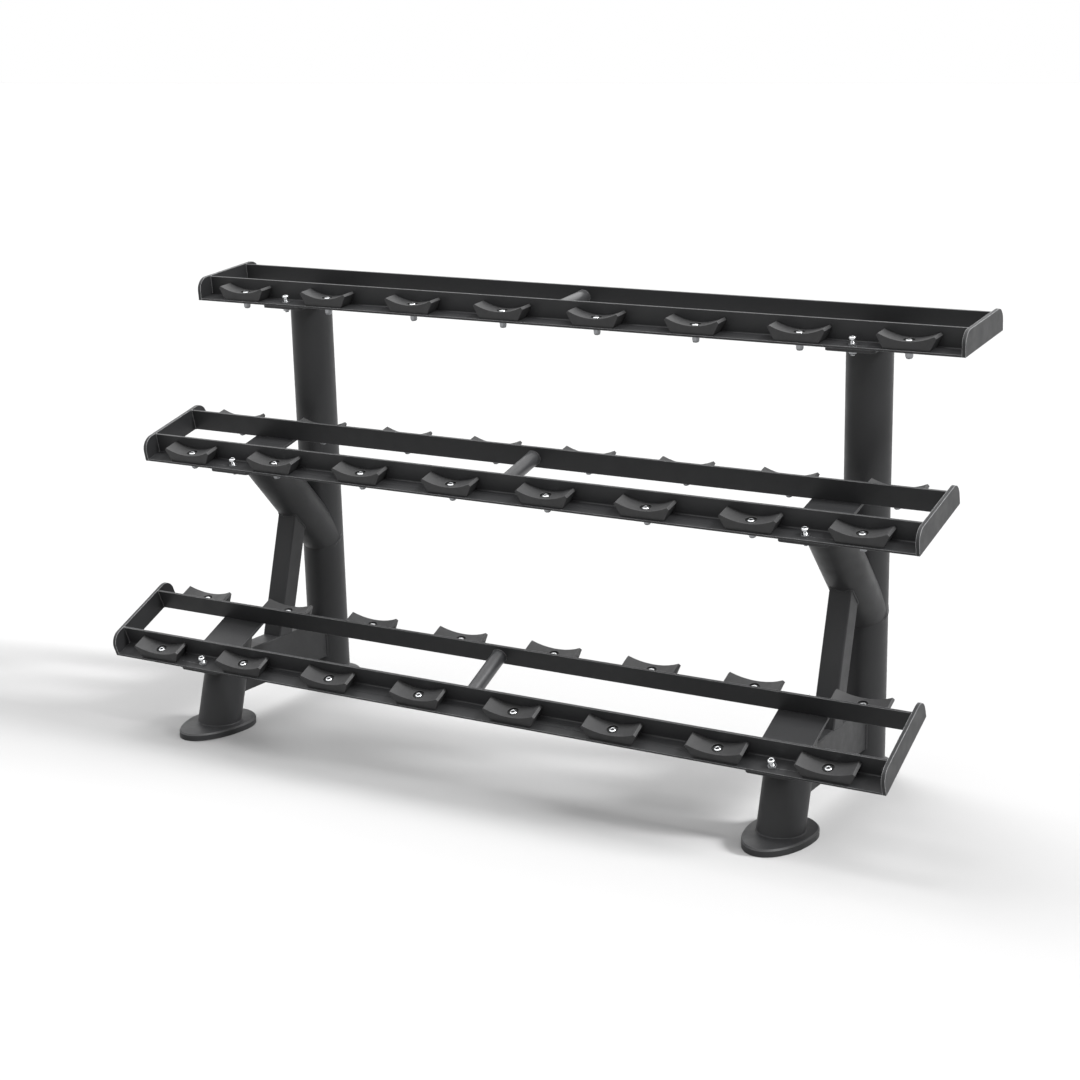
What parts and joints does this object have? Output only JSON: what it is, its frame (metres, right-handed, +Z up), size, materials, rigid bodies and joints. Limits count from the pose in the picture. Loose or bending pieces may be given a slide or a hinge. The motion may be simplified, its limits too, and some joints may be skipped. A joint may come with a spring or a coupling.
{
  "type": "dumbbell rack",
  "caption": "Free-standing storage rack with stacked tilted tiers of hollow-topped saddles that hold dumbbells by their heads, on tubular side frames with oval feet.",
  "frame": {"origin": "on the floor, under the centre of the rack's bounding box", "axes": "+X along the rails, +Y from the user's side to the back, +Z up"},
  "size_m": [2.44, 0.839, 1.3141],
  "materials": {
    "frame_coating": "satin powder coat on steel, fine orange peel",
    "rail_coating": "satin powder coat on steel, fine orange peel",
    "saddle_moulding": "matt moulded polyurethane with a fine grain",
    "screw_zinc": "bright zinc plate",
    "nut_zinc": "bright zinc plate"
  },
  "bodies": {
    "root": {"left_arm": "frame_coating", "left_base_beam": "frame_coating", "left_front_foot": "frame_coating", "left_front_leg": "frame_coating", "left_post": "frame_coating", "left_rear_foot": "frame_coating", "left_strut": "frame_coating", "lower_cap_nuts": "nut_zinc", "lower_frame_bolts": "screw_zinc", "lower_frame_nuts": "nut_zinc", "lower_frame_washers": "nut_zinc", "lower_front_rail": "rail_coating", "lower_front_saddles": "saddle_moulding", "lower_left_end_plate": "rail_coating", "lower_left_mounting_plate": "frame_coating", "lower_rear_rail": "rail_coating", "lower_rear_saddles": "saddle_moulding", "lower_right_end_plate": "rail_coating", "lower_right_mounting_plate": "frame_coating", "lower_saddle_screws": "screw_zinc", "lower_saddle_washers": "nut_zinc", "lower_spacer_tube": "rail_coating", "middle_cap_nuts": "nut_zinc", "middle_frame_bolts": "screw_zinc", "middle_frame_nuts": "nut_zinc", "middle_frame_washers": "nut_zinc", "middle_front_rail": "rail_coating", "middle_front_saddles": "saddle_moulding", "middle_left_end_plate": "rail_coating", "middle_left_mounting_plate": "frame_coating", "middle_rear_rail": "rail_coating", "middle_rear_saddles": "saddle_moulding", "middle_right_end_plate": "rail_coating", "middle_right_mounting_plate": "frame_coating", "middle_saddle_screws": "screw_zinc", "middle_saddle_washers": "nut_zinc", "middle_spacer_tube": "rail_coating", "right_arm": "frame_coating", "right_base_beam": "frame_coating", "right_front_foot": "frame_coating", "right_front_leg": "frame_coating", "right_post": "frame_coating", "right_rear_foot": "frame_coating", "right_strut": "frame_coating", "upper_cap_nuts": "nut_zinc", "upper_frame_bolts": "screw_zinc", "upper_frame_nuts": "nut_zinc", "upper_frame_washers": "nut_zinc", "upper_front_rail": "rail_coating", "upper_front_saddles": "saddle_moulding", "upper_left_end_plate": "rail_coating", "upper_left_mounting_plate": "frame_coating", "upper_rear_rail": "rail_coating", "upper_rear_saddles": "saddle_moulding", "upper_right_end_plate": "rail_coating", "upper_right_mounting_plate": "frame_coating", "upper_saddle_screws": "screw_zinc", "upper_saddle_washers": "nut_zinc", "upper_spacer_tube": "rail_coating"}
  },
  "joints": []
}
